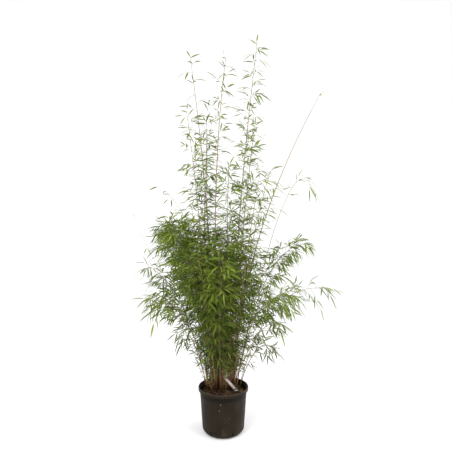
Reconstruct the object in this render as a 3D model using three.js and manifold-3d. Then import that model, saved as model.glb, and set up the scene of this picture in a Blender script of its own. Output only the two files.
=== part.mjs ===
// Potted narrow-leaved clumping bamboo in a black nursery container.
// Millimetres, +Z up. The origin is the middle of the pot's flat base.
// The pot stands on Z = 0; the plant's photographed side faces -Y.
import * as THREE from 'three';
import { mergeVertices } from 'three/addons/utils/BufferGeometryUtils.js';
import Module from 'manifold-3d';

const wasm = await Module();
wasm.setup();

// Pot: a 10 litre nursery container
const pot = {
  height: 230,
  rimDiameter: 260,
  bodyTopDiameter: 244, // just under the lip
  footDiameter: 218,
  bottomRounding: 28,
  lipHeight: 16,
  lipRounding: 2,
  wall: 2.4,
  lipWall: 5,
  sides: 24,
  slots: 6,
  firstSlot: -64, // degrees from +X, so that two slots show in front
  slotWidth: 10,
  slotHeight: 18,
  slotFrom: 14, // height of a slot's lower end above the base
};

// Soil: fills the pot and rises a little under the clump
const soil = {
  belowRim: 30, // at the pot's wall
  mound: 9, // how much higher the middle is
  unevenness: 1.5,
  middleRing: 0.55, // share of the wall's distance at which the top has one more ring
  seed: 7,
  seat: 0.35, // clearance to the pot's wall and to each culm
  holeDepth: 42, // from the wall's soil level down to a culm's buried end
};

// Plant label: a plastic strip stuck in the soil, with one slot
const label = {
  width: 13,
  length: 134,
  thickness: 0.9,
  foot: [80.5, -3, 192], // middle of the buried end
  head: [0, -42, 298],
  slotWidth: 3,
  slotLength: 9,
  slotFromFoot: 22,
};

// Clump: where the culms stand in the soil
const clump = {
  centre: [-12, 26],
  halfSize: [84, 62],
  spacing: 13, // least distance between two culms' middles at the soil
  straight: 14, // how far a culm stands straight up above the wall's soil level
  clearance: 2.2, // least space between two bare culms
  sidestep: 11, // how far a culm's knee moves at a time to get clear of the others
  attempts: 30,
  caneSides: 5,
  tallFrom: 1100, // a culm whose tip is above this has the second number of steps in its middle line
  steps: [4, 6],
  taper: 0.65, // share of its radius that a culm loses to its tip
};

// Every culm has an own seed: the first one's, then so much more for each
const culmSeeds = { first: 1000, step: 77 };

// Twigs. Ranges are [least, most] of a draw; angles are in degrees, other shares are of the length
// of the twig or, for offset and lastAt, of the leafy part of the culm
const twigShape = {
  radius: 0.9,
  steps: 2,
  past: 60, // how far the last twig and leaf reach past the cane
  offset: [0.1, 0.7], // place of a twig in its own stretch of the culm
  lastAt: 0.985,
  turnDrift: 0.35, // radians off the golden angle
  lean: [34, 64], // away from the culm
  lastLean: 0.3, // share of that for the last twig
  length: [0.55, 1.3], // shares of the culm's reach
  sag: [0.08, 0.34],
  roll: 45,
  bend: 0.55,
  fewest: 0.35, // share of the length and of the leaves at either end of the leafy part
  fuller: 2.6, // how much that grows half-way up it
  crowding: [0.8, 1.2],
  fewestLeaves: 2,
  steep: 0.8, // a culm whose direction has less of +Z than this has its twigs turned from +Z, else from +X
};

// Leaves, at true size, in two ranks along the outer part of a twig and one at its end
const leafShape = {
  thickness: 1.3,
  rootRadius: 0.42,
  widest: 0.42,
  length: [42, 76],
  slimness: 0.125,
  widthSpread: [0.9, 1.1],
  firstAt: 0.3, // on the twig
  spread: 0.68,
  lastAt: 0.99,
  lastAngle: 9, // degrees off the twig
  angle: [28, 58],
  droop: [0.12, 0.6],
  drop: [0.06, 0.3],
  bend: 0.5,
  far: 0.97,
};
const foliageGap = 0.9; // least space between the foliage of two culms
const goldenAngle = Math.PI * (3 - Math.sqrt(5));
const up = new THREE.Vector3(0, 0, 1);

const soilLevel = pot.height - soil.belowRim;
const { lerp } = THREE.MathUtils;

// Seeded draws, so the same plant grows every time
function drawer(seed) {
  let state = seed;
  return (low, high) => {
    state = (state * 1664525 + 1013904223) % 4294967296;
    return low + ((high - low) * state) / 4294967296;
  };
}

// A culm leaves the soil at its root, heads for its knee and ends at its tip.
// leafyFrom: where along it the twigs begin; twigs, leaves: how many of each the
// living culm has; kept: how many of its twigs this model holds.
const tallHabit = { radius: 2.5, leafyFrom: 0.36, twigs: 32, leaves: 5, reach: 65, kept: 4 };
const tallCulms = [
  { root: [34, 30], knee: [70, 45, 1150], tip: [188, 40, 2105], radius: 3, twigs: 50, kept: 5 },
  { root: [-22, 8], knee: [-75, -45, 1250], tip: [21, -50, 1985], radius: 3, leafyFrom: 0.5, twigs: 26, leaves: 4 },
  { root: [-44, 30], knee: [-60, 30, 1146], tip: [-184, 10, 2020], radius: 2.8, twigs: 28, leaves: 4 },
  { root: [40, 10], knee: [85, -15, 980], tip: [170, -40, 1640], reach: 80 },
  { root: [-62, 14], knee: [-95, -25, 955], tip: [-195, -50, 1710], reach: 80 },
  { root: [-32, 56], knee: [-105, 60, 1000], tip: [-86, 70, 1764] },
  { root: [-58, 44], knee: [-130, 50, 1000], tip: [-76, 55, 1618] },
  { root: [-48, -6], knee: [-110, -45, 760], tip: [-165, -80, 1210], leaves: 6, reach: 95 },
  { root: [4, -10], knee: [15, -30, 800], tip: [29, -60, 1430], leaves: 6, reach: 80 },
  { root: [56, 12], knee: [90, -45, 800], tip: [194, -90, 1378], leafyFrom: 0.62, twigs: 20, reach: 90 },
  { root: [52, 56], knee: [100, 80, 850], tip: [275, 95, 1424], leafyFrom: 0.62, twigs: 22, reach: 95 },
  { root: [68, 22], knee: [330, -60, 1560], tip: [470, -120, 1180], radius: 1.5, leafyFrom: 0.55, twigs: 8,
    leaves: 2, reach: 45, kept: 3 },
  { root: [-70, 50], knee: [-90, 70, 1150], tip: [-414, 75, 1305], radius: 1.5, leafyFrom: 0.6, twigs: 7,
    leaves: 2, reach: 45, kept: 4 },
  { root: [-84, 10], knee: [-220, -25, 600], tip: [-480, -60, 1160], radius: 1.2, leafyFrom: 0.8, twigs: 3,
    leaves: 2, reach: 30, kept: 2 },
];
const archingCulm = { root: [58, 34], knee: [88, 35, 1000], tip: [545, 30, 1820], radius: 3, leafyFrom: 0.97,
  twigs: 1, leaves: 2, reach: 15, kept: 1 };
const outerHabit = { radius: 2.1, leafyFrom: 0.38, twigs: 22, leaves: 7, reach: 85, kept: 4 };
const outerCulms = [
  { root: [70, 46], knee: [200, 70, 950], tip: [500, 75, 970], twigs: 42 },
  { root: [79, 11], knee: [230, -85, 830], tip: [590, -150, 735], radius: 1.7, leafyFrom: 0.5, twigs: 13,
    leaves: 4 },
  { root: [26, -6], knee: [140, -120, 760], tip: [375, -215, 720], twigs: 26 },
  { root: [44, -4], knee: [185, -75, 640], tip: [330, -120, 530], twigs: 10, kept: 3 },
  { root: [84, 29], knee: [180, -20, 530], tip: [300, -60, 384], leafyFrom: 0.3, twigs: 8, leaves: 4, kept: 3 },
  { root: [-90, 24], knee: [-190, 0, 760], tip: [-440, -40, 880], leafyFrom: 0.42, twigs: 26 },
  { root: [-66, -10], knee: [-180, -85, 740], tip: [-420, -140, 685], twigs: 26 },
  { root: [-82, -4], knee: [-160, -40, 560], tip: [-260, -60, 490], twigs: 9, reach: 70, kept: 3 },
  { root: [-84, 42], knee: [-150, 70, 880], tip: [-375, 85, 1120], twigs: 44, leaves: 9, reach: 100 },
  { root: [-30, -16], knee: [-130, -70, 840], tip: [-290, -105, 1150], twigs: 48, leaves: 9, reach: 110 },
];

// Middle culms: spread over the clump by the golden angle, each leaning out the way it stands
const middle = {
  count: 22,
  seed: 5,
  attempts: 7,
  wander: 0.08, // radians off the golden angle at the first draw, so much more at each later one
  reach: [30, 200], // how far out the tips of the innermost and the outermost culms hang
  reachSpread: 30,
  deeper: 0.95, // the same, from front to back, as a share
  tipHeight: [1150, 860], // innermost, outermost
  heightSpread: 60,
  lowerRight: 0.3, // how much lower the tips of the right are, for each millimetre that they hang out
  shareSpread: [0.85, 1.05],
  kneeShare: 0.3, // share of the way out at the knee
  kneeRise: 0.66,
  habit: { radius: 2.2, leafyFrom: 0.17, twigs: 50, leaves: 8, reach: 110, kept: 3 },
};

// One draw of the i-th culm of the middle mass; those further out are lower and lean out further
function middleCulm(i, trial, draw) {
  const wander = middle.wander * (1 + trial);
  const share = Math.sqrt((i + 0.5) / middle.count) * draw(...middle.shareSpread);
  const turn = i * goldenAngle + draw(-wander, wander);
  const root = [
    clump.centre[0] + clump.halfSize[0] * share * Math.cos(turn),
    clump.centre[1] + clump.halfSize[1] * share * Math.sin(turn),
  ];
  const reach = lerp(...middle.reach, share) + draw(-middle.reachSpread, middle.reachSpread);
  const height = lerp(...middle.tipHeight, share) + draw(-middle.heightSpread, middle.heightSpread);
  const out = [reach * Math.cos(turn), reach * middle.deeper * Math.sin(turn)];
  const top = height - middle.lowerRight * out[0];
  return {
    ...middle.habit,
    root,
    knee: [root[0] + out[0] * middle.kneeShare, root[1] + out[1] * middle.kneeShare, top * middle.kneeRise],
    tip: [root[0] + out[0], root[1] + out[1], top],
  };
}

const twoDigits = (number) => String(number).padStart(2, '0');
const named = (list, prefix) => list.map((culm, i) => ({ ...culm, name: `${prefix}_${twoDigits(i + 1)}` }));

// Every segment that is already in place: { line, radius, owner }
const inPlace = [];

function clearOf(lines, radius, gap, isOther) {
  return inPlace.every((item) => {
    if (!isOther(item)) return true;
    const least = radius + item.radius + gap;
    return lines.every((line) => line.distanceSqToLine3(item.line) > least * least);
  });
}

function segments(points) {
  return points.slice(1).map((point, i) => new THREE.Line3(points[i], point));
}

// Middle line of a culm: its buried end, where it leaves the soil, then the arch to its tip
function culmPoints(culm) {
  const [rootX, rootY] = culm.root;
  const foot = new THREE.Vector3(rootX, rootY, soilLevel - soil.holeDepth + soil.seat);
  const start = new THREE.Vector3(rootX, rootY, soilLevel + clump.straight);
  const arch = new THREE.QuadraticBezierCurve3(start, new THREE.Vector3(...culm.knee), new THREE.Vector3(...culm.tip));
  const steps = clump.steps[culm.tip[2] > clump.tallFrom ? 1 : 0];
  return [foot, ...Array.from({ length: steps + 1 }, (_, i) => arch.getPoint(i / steps))];
}

// Moves a culm's knee sideways until the culm is clear of those already in place
function bentClear(culm, attempts) {
  const across = new THREE.Vector2(culm.root[1] - culm.tip[1], culm.tip[0] - culm.root[0]).normalize();
  for (let attempt = 0; attempt < attempts; attempt += 1) {
    const shift = Math.ceil(attempt / 2) * clump.sidestep * (attempt % 2 ? 1 : -1);
    const knee = [culm.knee[0] + across.x * shift, culm.knee[1] + across.y * shift, culm.knee[2]];
    const moved = { ...culm, knee };
    const lines = segments(culmPoints(moved));
    if (clearOf(lines, culm.radius, clump.clearance, () => true)) {
      take(lines, culm.radius, culm.name);
      return moved;
    }
  }
  return undefined;
}

// Radius of a culm at a share of its way up the arch
const culmRadius = (culm, share) => culm.radius * (1 - clump.taper * share * share);

// The closed solid of a shape made along +Z from 0 to 1, laid along a line of frames
function laidAlong(geometry, frameAt) {
  const shape = geometry.clone();
  shape.deleteAttribute('normal');
  shape.deleteAttribute('uv');
  const merged = mergeVertices(shape, 1e-4);
  const place = merged.attributes.position;
  for (let i = 0; i < place.count; i += 1) {
    const { at, across, above } = frameAt(place.getZ(i));
    const point = at.clone().addScaledVector(across, place.getX(i)).addScaledVector(above, place.getY(i));
    place.setXYZ(i, point.x, point.y, point.z);
  }
  return solidOf(merged);
}

function solidOf(geometry) {
  const merged = geometry.attributes.normal ? withoutNormals(geometry) : geometry;
  return new wasm.Manifold(
    new wasm.Mesh({
      numProp: 3,
      vertProperties: new Float32Array(merged.attributes.position.array),
      triVerts: new Uint32Array(merged.index.array),
    }),
  );
}

function withoutNormals(geometry) {
  const bare = geometry.clone();
  bare.deleteAttribute('normal');
  bare.deleteAttribute('uv');
  return mergeVertices(bare, 1e-4);
}

function geometryOf(solid) {
  const { vertProperties, triVerts } = solid.getMesh();
  const geometry = new THREE.BufferGeometry();
  geometry.setAttribute('position', new THREE.BufferAttribute(new Float32Array(vertProperties), 3));
  geometry.setIndex(new THREE.BufferAttribute(new Uint32Array(triVerts), 1));
  geometry.computeVertexNormals();
  return geometry;
}

// The largest closed surface of a solid: small hollows sealed by crossing leaves are filled this way
function outerSurface(geometry) {
  const corners = geometry.index.array;
  const parent = Array.from({ length: geometry.attributes.position.count }, (_, i) => i);
  const find = (i) => {
    let top = i;
    while (parent[top] !== top) top = parent[top];
    parent[i] = top;
    return top;
  };
  for (let i = 0; i < corners.length; i += 3) {
    parent[find(corners[i + 1])] = find(corners[i]);
    parent[find(corners[i + 2])] = find(corners[i]);
  }
  const surfaces = new Map();
  for (let i = 0; i < corners.length; i += 3) {
    const surface = find(corners[i]);
    if (!surfaces.has(surface)) surfaces.set(surface, []);
    surfaces.get(surface).push(corners[i], corners[i + 1], corners[i + 2]);
  }
  const largest = [...surfaces.values()].sort((one, other) => other.length - one.length)[0];
  const result = new THREE.BufferGeometry();
  result.setAttribute('position', geometry.attributes.position);
  result.setIndex(largest);
  result.computeVertexNormals();
  return result;
}

// Frames down a line of points that turn no more than the line does
function framesAlong(points) {
  const along = points.map((point, i) => {
    const ahead = points[Math.min(i + 1, points.length - 1)];
    const behind = points[Math.max(i - 1, 0)];
    return ahead.clone().sub(behind).normalize();
  });
  let across = new THREE.Vector3(1, 0, 0);
  return points.map((at, i) => {
    across = across.clone().addScaledVector(along[i], -across.dot(along[i])).normalize();
    return { at, across, above: along[i].clone().cross(across) };
  });
}

// A rod of radius 1 with its rings at equal steps from 0 to 1 along +Z
function rod(sides, steps) {
  const shape = new THREE.CylinderGeometry(1, 1, 1, sides, steps);
  return shape.rotateX(Math.PI / 2).translate(0, 0, 0.5);
}

function caneSolid(culm) {
  const points = culmPoints(culm);
  const frames = framesAlong(points);
  frames[1] = { ...frames[0], at: points[1] };
  const steps = points.length - 1;
  return laidAlong(rod(clump.caneSides, steps), (share) => {
    const ring = Math.round(share * steps);
    const radius = culmRadius(culm, Math.max(ring - 1, 0) / (steps - 1));
    const { at, across, above } = frames[ring];
    return { at, across: across.clone().multiplyScalar(radius), above: above.clone().multiplyScalar(radius) };
  });
}

// Point and direction at a share of the way along a line's straight steps
function onSteps(points, share) {
  const steps = points.length - 1;
  const step = Math.min(Math.floor(share * steps), steps - 1);
  const at = points[step].clone().lerp(points[step + 1], share * steps - step);
  return { at, along: points[step + 1].clone().sub(points[step]).normalize() };
}

const degrees = Math.PI / 180;

// Twigs are longest, and bear most leaves, half-way up the leafy part
function fullness(share, leafyFrom) {
  const rise = (share - leafyFrom) / (1 - leafyFrom);
  return twigShape.fewest + twigShape.fuller * rise * (1 - rise);
}

// All the twigs of a culm with their leaves
function twigsOf(culm, seed) {
  const draw = drawer(seed);
  const arch = culmPoints(culm).slice(1);
  const firstTurn = draw(0, 2 * Math.PI);
  return Array.from({ length: culm.twigs }, (_, k) => {
    const isLast = k === culm.twigs - 1;
    const drawnShare = culm.leafyFrom + ((1 - culm.leafyFrom) * (k + draw(...twigShape.offset))) / culm.twigs;
    const share = isLast ? twigShape.lastAt : drawnShare;
    const { at, along } = onSteps(arch, share);
    const turn = firstTurn + k * goldenAngle + draw(-twigShape.turnDrift, twigShape.turnDrift);
    const lean = draw(...twigShape.lean) * degrees * (isLast ? twigShape.lastLean : 1);
    const full = fullness(share, culm.leafyFrom);
    const length = culm.reach * draw(...twigShape.length) * full;
    const sag = length * draw(...twigShape.sag);
    const roll = draw(-twigShape.roll, twigShape.roll) * degrees;
    const reference = Math.abs(along.z) < twigShape.steep ? up : new THREE.Vector3(1, 0, 0);
    const sideOne = along.clone().cross(reference).normalize();
    const sideTwo = along.clone().cross(sideOne);
    const heading = along.clone().multiplyScalar(Math.cos(lean))
      .addScaledVector(sideOne, Math.sin(lean) * Math.cos(turn))
      .addScaledVector(sideTwo, Math.sin(lean) * Math.sin(turn));
    const curve = new THREE.QuadraticBezierCurve3(
      at,
      at.clone().addScaledVector(heading, length * twigShape.bend),
      at.clone().addScaledVector(heading, length).addScaledVector(up, -sag),
    );
    const count = Math.max(twigShape.fewestLeaves, Math.round(culm.leaves * full * draw(...twigShape.crowding)));
    const leaves = Array.from({ length: count }, (_item, j) => leafOn(curve, roll, j, count, draw));
    return { curve, roll, leaves };
  });
}

// The plane in which a twig bears its leaves: level across the twig, then rolled about it
function leafPlane(along, roll) {
  const level = along.clone().cross(up).normalize();
  const above = level.cross(along).applyAxisAngle(along, roll);
  return { above, across: above.clone().cross(along) };
}

function leafOn(twig, roll, j, count, draw) {
  const isLast = j === count - 1;
  const share = isLast ? leafShape.lastAt : leafShape.firstAt + (leafShape.spread * (j + 0.5)) / count;
  const { at, along } = onSteps(twig.getPoints(twigShape.steps), share);
  const { above, across: side } = leafPlane(along, roll);
  const rank = j % 2 ? 1 : -1;
  const angle = isLast ? draw(-leafShape.lastAngle, leafShape.lastAngle) : draw(...leafShape.angle) * rank;
  const droop = draw(...leafShape.droop);
  const length = draw(...leafShape.length);
  const width = length * leafShape.slimness * draw(...leafShape.widthSpread);
  const drop = length * draw(...leafShape.drop);
  const heading = along.multiplyScalar(Math.cos(angle * degrees)).addScaledVector(side, Math.sin(angle * degrees));
  heading.addScaledVector(up, -droop).normalize();
  const across = above.clone().cross(heading).normalize();
  return {
    width,
    across,
    curve: new THREE.QuadraticBezierCurve3(
      at,
      at.clone().addScaledVector(heading, length * leafShape.bend),
      at.clone().addScaledVector(heading, length * leafShape.far).addScaledVector(up, -drop),
    ),
  };
}

// Rings of a twig that runs on into its last leaf, as a cone with a ring at each station
function twigWithLeafSolid(points, roll, { curve, across, width }) {
  const stations = points.length + 1;
  const frames = points.map((at, i) => {
    const step = Math.min(i, points.length - 2);
    return { at, ...leafPlane(points[step + 1].clone().sub(points[step]).normalize(), roll) };
  });
  const shape = new THREE.ConeGeometry(1, 1, 3, stations).rotateX(Math.PI / 2).translate(0, 0, 0.5);
  return laidAlong(shape, (height) => {
    const ring = Math.round(height * stations);
    const full = 1 - height || 1;
    if (ring >= points.length) return leafFrame(curve, across, width, ring > points.length, full);
    const { at, across: twigAcross, above } = frames[ring];
    const scale = twigShape.radius / full;
    return { at, across: twigAcross.clone().multiplyScalar(scale), above: above.clone().multiplyScalar(scale) };
  });
}

// Frame of a leaf's widest station or of its tip; full is the radius of the cone's ring there
function leafFrame(curve, across, width, isTip, full) {
  const share = isTip ? 1 : leafShape.widest;
  const sideScale = width / (2 * Math.cos(30 * degrees)) / full;
  const aboveScale = leafShape.thickness / 1.5 / full; // a three-sided ring of radius 1 is 1.5 high
  return {
    at: curve.getPoint(share),
    across: across.clone().multiplyScalar(sideScale),
    above: curve.getTangent(share).cross(across).multiplyScalar(aboveScale),
  };
}

// A slim three-sided blade: blunt at its root, widest at the middle station, pointed at its tip
function leafSolid({ curve, across, width }) {
  const shape = new THREE.ConeGeometry(1, 1, 3, 2).rotateX(Math.PI / 2).translate(0, 0, 0.5);
  return laidAlong(shape, (height) => {
    if (height > 0.1) return leafFrame(curve, across, width, height > 0.9, 1 - height || 1);
    return {
      at: curve.getPoint(0),
      across: across.clone().multiplyScalar(leafShape.rootRadius),
      above: curve.getTangent(0).cross(across).multiplyScalar(leafShape.rootRadius),
    };
  });
}

// The model holds few of the twigs, evenly spread, and every other leaf, counted from the tip
// down. A twig that would cross another culm gives way to the next one down
function leafyCulmSolid(culm, seed) {
  const isOther = (item) => item.owner !== culm.name;
  let solid = caneSolid(culm);
  const everyTwig = Math.ceil(culm.twigs / culm.kept);
  let skip = 0;
  twigsOf(culm, seed).reverse().forEach(({ curve, roll, leaves }) => {
    if (skip > 0) {
      skip -= 1;
      return;
    }
    const points = curve.getPoints(twigShape.steps);
    const twigLines = segments(points);
    const lastLeaf = leaves.at(-1);
    const lastLines = leafLines(lastLeaf);
    if (!isClear(twigLines, twigShape.radius, isOther) || !isClear(lastLines, lastLeaf.width / 2, isOther)) return;
    skip = everyTwig - 1;
    take(twigLines, twigShape.radius, culm.name);
    take(lastLines, lastLeaf.width / 2, culm.name);
    solid = solid.add(twigWithLeafSolid(points, roll, lastLeaf));
    leaves.slice(0, -1).forEach((leaf, j) => {
      if ((leaves.length - 1 - j) % 2) return;
      const radius = leaf.width / 2;
      const lines = leafLines(leaf);
      const crossesOwn = !isClear(lines.slice(1), radius / 2, (item) => item.owner === culm.name);
      if (crossesOwn || !isClear(lines, radius, isOther)) return;
      take(lines, radius, culm.name);
      solid = solid.add(leafSolid(leaf));
    });
  });
  return solid;
}

const leafLines = (leaf) => segments([0, leafShape.widest, 1].map((share) => leaf.curve.getPoint(share)));

function isClear(lines, radius, isOther) {
  const lowest = Math.min(...lines.map((line) => Math.min(line.start.z, line.end.z)));
  return lowest > pot.height + radius + foliageGap && clearOf(lines, radius, foliageGap, isOther);
}

function take(lines, radius, owner) {
  lines.forEach((line) => inPlace.push({ line, radius, owner }));
}

// Pot wall: outside from the base up and over the lip, then back down the inside
function potProfile() {
  const foot = pot.footDiameter / 2 - pot.bottomRounding;
  const bodyTop = pot.bodyTopDiameter / 2;
  const rim = pot.rimDiameter / 2;
  const lipFrom = pot.height - pot.lipHeight;
  const outline = new THREE.Path();
  outline.moveTo(0, 0);
  outline.lineTo(foot, 0);
  outline.absarc(foot, pot.bottomRounding, pot.bottomRounding, -Math.PI / 2, 0);
  outline.lineTo(bodyTop, lipFrom);
  outline.lineTo(rim, lipFrom);
  outline.lineTo(rim, pot.height - pot.lipRounding);
  outline.lineTo(rim - pot.lipRounding, pot.height);
  outline.lineTo(rim - pot.lipWall, pot.height);
  outline.lineTo(rim - pot.lipWall, lipFrom + pot.wall);
  outline.lineTo(bodyTop - pot.wall, lipFrom - pot.wall);
  outline.lineTo(pot.footDiameter / 2 - pot.wall, pot.bottomRounding);
  outline.absarc(foot, pot.bottomRounding, pot.bottomRounding - pot.wall, 0, -Math.PI / 2, true);
  outline.lineTo(0, pot.wall);
  return outline;
}

// A solid of revolution about Z from an outline of (radius, height)
function turned(outline) {
  const arcSteps = 2;
  const profile = outline.getPoints(arcSteps);
  return withoutNormals(new THREE.LatheGeometry(profile, pot.sides).rotateX(Math.PI / 2));
}

function potSolid() {
  let solid = solidOf(turned(potProfile()));
  const outerRadius = pot.footDiameter / 2;
  for (let i = 0; i < pot.slots; i += 1) {
    const slot = new THREE.BoxGeometry(2 * pot.bottomRounding, pot.slotWidth, pot.slotHeight);
    slot.translate(outerRadius, 0, pot.slotFrom + pot.slotHeight / 2);
    slot.rotateZ(pot.firstSlot * degrees + (i / pot.slots) * 2 * Math.PI);
    solid = solid.subtract(solidOf(slot));
  }
  return solid;
}

// The soil follows the inside of the pot; its top has a low, uneven mound
function soilSolid(culms) {
  const seat = soil.seat;
  const foot = pot.footDiameter / 2 - pot.bottomRounding;
  const wallAt = (height) => {
    const rise = (height - pot.bottomRounding) / (pot.height - pot.lipHeight - pot.bottomRounding);
    return lerp(pot.footDiameter, pot.bodyTopDiameter, rise) / 2 - pot.wall - seat;
  };
  const outline = new THREE.Path();
  outline.moveTo(0, pot.wall + seat);
  outline.lineTo(foot, pot.wall + seat);
  outline.absarc(foot, pot.bottomRounding, pot.bottomRounding - pot.wall - seat, -Math.PI / 2, 0);
  outline.lineTo(wallAt(soilLevel), soilLevel);
  const mound = soil.mound * (1 - soil.middleRing * soil.middleRing);
  outline.lineTo(wallAt(soilLevel) * soil.middleRing, soilLevel + mound);
  outline.lineTo(0, soilLevel + soil.mound);
  const geometry = turned(outline);
  const place = geometry.attributes.position;
  const draw = drawer(soil.seed);
  for (let i = 0; i < place.count; i += 1) {
    const isOnTop = place.getZ(i) > soilLevel + 1;
    if (isOnTop) place.setZ(i, place.getZ(i) + draw(-soil.unevenness, soil.unevenness));
  }
  let solid = solidOf(geometry);
  culms.forEach((culm) => {
    const holeRadius = culm.radius + seat / Math.cos(Math.PI / clump.caneSides);
    const depth = soil.holeDepth + 3 * soil.mound;
    const hole = new THREE.CylinderGeometry(holeRadius, holeRadius, depth, clump.caneSides).rotateX(Math.PI / 2);
    hole.translate(culm.root[0], culm.root[1], soilLevel - soil.holeDepth + depth / 2);
    solid = solid.subtract(solidOf(hole));
  });
  return solid.subtract(labelSolid(seat));
}

// The label as a box along its own length, grown all round by a clearance
function labelSolid(clearance) {
  const foot = new THREE.Vector3(...label.foot);
  const head = new THREE.Vector3(...label.head);
  const along = head.clone().sub(foot).normalize();
  const facing = new THREE.Vector3(0, -1, 0);
  const across = along.clone().cross(facing).normalize();
  const normal = across.clone().cross(along);
  const strip = new THREE.BoxGeometry(
    label.width + 2 * clearance,
    label.thickness + 2 * clearance,
    label.length + 2 * clearance,
  ).translate(0, 0, label.length / 2);
  const pose = new THREE.Matrix4().makeBasis(across, normal.negate(), along).setPosition(foot);
  const solid = solidOf(strip.applyMatrix4(pose));
  if (clearance > 0) return solid;
  const slot = new THREE.BoxGeometry(label.slotWidth, 4 * label.thickness, label.slotLength);
  return solid.subtract(solidOf(slot.translate(0, 0, label.slotFromFoot).applyMatrix4(pose)));
}

const potPlastic = new THREE.MeshStandardMaterial({ color: 0x322c26, roughness: 0.62, metalness: 0 });
const soilBrown = new THREE.MeshStandardMaterial({ color: 0x3a2a1e, roughness: 0.97, metalness: 0 });
const labelPlastic = new THREE.MeshStandardMaterial({ color: 0xcfc3c4, roughness: 0.5, metalness: 0 });
const caneTan = new THREE.MeshStandardMaterial({ color: 0xa98c66, roughness: 0.55, metalness: 0 });
const leafGreen = new THREE.MeshStandardMaterial({ color: 0x5a7832, roughness: 0.6, metalness: 0 });

const bamboo = new THREE.Group();

function addPiece(name, solid, material) {
  const mesh = new THREE.Mesh(outerSurface(geometryOf(solid)), material.clone());
  mesh.material.flatShading = true;
  mesh.name = name;
  bamboo.add(mesh);
}

const labelHalf = label.width / 2;
take(segments([new THREE.Vector3(...label.foot), new THREE.Vector3(...label.head)]), labelHalf, 'plant_label');

// The tips above are those of the last leaf, so a cane ends that much short of them
function shortened(culm) {
  const tip = new THREE.Vector3(...culm.tip);
  const back = tip.clone().sub(new THREE.Vector3(...culm.knee)).setLength(twigShape.past);
  return { ...culm, tip: tip.sub(back).toArray() };
}

// The traced culms stand first; each one of the middle is then drawn until it finds a free place
function grownCulms() {
  const traced = [
    ...named(tallCulms.map((culm) => ({ ...tallHabit, ...culm })), 'tall_culm'),
    { ...archingCulm, name: 'bare_arching_culm' },
    ...named(outerCulms.map((culm) => ({ ...outerHabit, ...culm })), 'outer_culm'),
  ];
  const grown = traced.map((culm) => bentClear(shortened(culm), clump.attempts));
  const draw = drawer(middle.seed);
  for (let i = 0; i < middle.count; i += 1) {
    let bent;
    for (let trial = 0; !bent; trial += 1) {
      const culm = { ...middleCulm(i, trial, draw), name: `middle_culm_${twoDigits(i + 1)}` };
      const isFree = grown.every((other) => apart(culm.root, other.root) >= clump.spacing);
      if (isFree) bent = bentClear(culm, middle.attempts);
    }
    grown.push(bent);
  }
  return grown;
}

const apart = (one, other) => Math.hypot(one[0] - other[0], one[1] - other[1]);

const culms = grownCulms();
addPiece('pot', potSolid(), potPlastic);
addPiece('soil', soilSolid(culms), soilBrown);
addPiece('plant_label', labelSolid(0), labelPlastic);
culms.forEach((culm, i) => {
  const material = culm.name === 'bare_arching_culm' ? caneTan : leafGreen;
  addPiece(culm.name, leafyCulmSolid(culm, culmSeeds.first + culmSeeds.step * i), material);
});

export default bamboo;
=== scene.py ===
import math

import bmesh
import bpy
from mathutils import Matrix, Vector, noise


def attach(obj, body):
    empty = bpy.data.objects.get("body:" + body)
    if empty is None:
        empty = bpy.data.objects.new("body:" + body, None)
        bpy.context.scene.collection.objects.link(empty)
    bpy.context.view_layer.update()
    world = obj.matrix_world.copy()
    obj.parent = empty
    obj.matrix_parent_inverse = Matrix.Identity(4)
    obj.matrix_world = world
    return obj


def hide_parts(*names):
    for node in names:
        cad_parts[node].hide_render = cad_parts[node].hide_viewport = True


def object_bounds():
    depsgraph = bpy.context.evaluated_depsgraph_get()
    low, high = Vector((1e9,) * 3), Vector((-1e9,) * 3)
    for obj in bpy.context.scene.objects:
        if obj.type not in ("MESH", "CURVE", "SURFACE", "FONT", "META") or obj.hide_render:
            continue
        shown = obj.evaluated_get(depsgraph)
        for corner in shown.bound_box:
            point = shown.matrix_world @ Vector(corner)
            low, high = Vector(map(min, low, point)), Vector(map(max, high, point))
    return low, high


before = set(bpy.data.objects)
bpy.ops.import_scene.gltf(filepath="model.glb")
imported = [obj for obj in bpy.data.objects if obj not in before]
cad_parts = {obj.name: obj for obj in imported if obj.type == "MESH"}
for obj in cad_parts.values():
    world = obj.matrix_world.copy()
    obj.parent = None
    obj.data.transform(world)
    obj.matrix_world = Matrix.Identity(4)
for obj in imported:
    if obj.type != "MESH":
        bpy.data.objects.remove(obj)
cadLow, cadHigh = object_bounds()
scene = bpy.context.scene
mm = 0.001
up = Vector((0, 0, 1))
goldenAngle = math.pi * (3 - math.sqrt(5))
print("frame loaded:", len(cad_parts), "nodes")


# Seeded draws: the same rule and seeds as the solids, so each culm stands where its solid stands
class Drawer:
    def __init__(self, seed):
        self.state = seed

    def __call__(self, low, high):
        self.state = (self.state * 1664525 + 1013904223) % 4294967296
        return low + (high - low) * self.state / 4294967296


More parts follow.
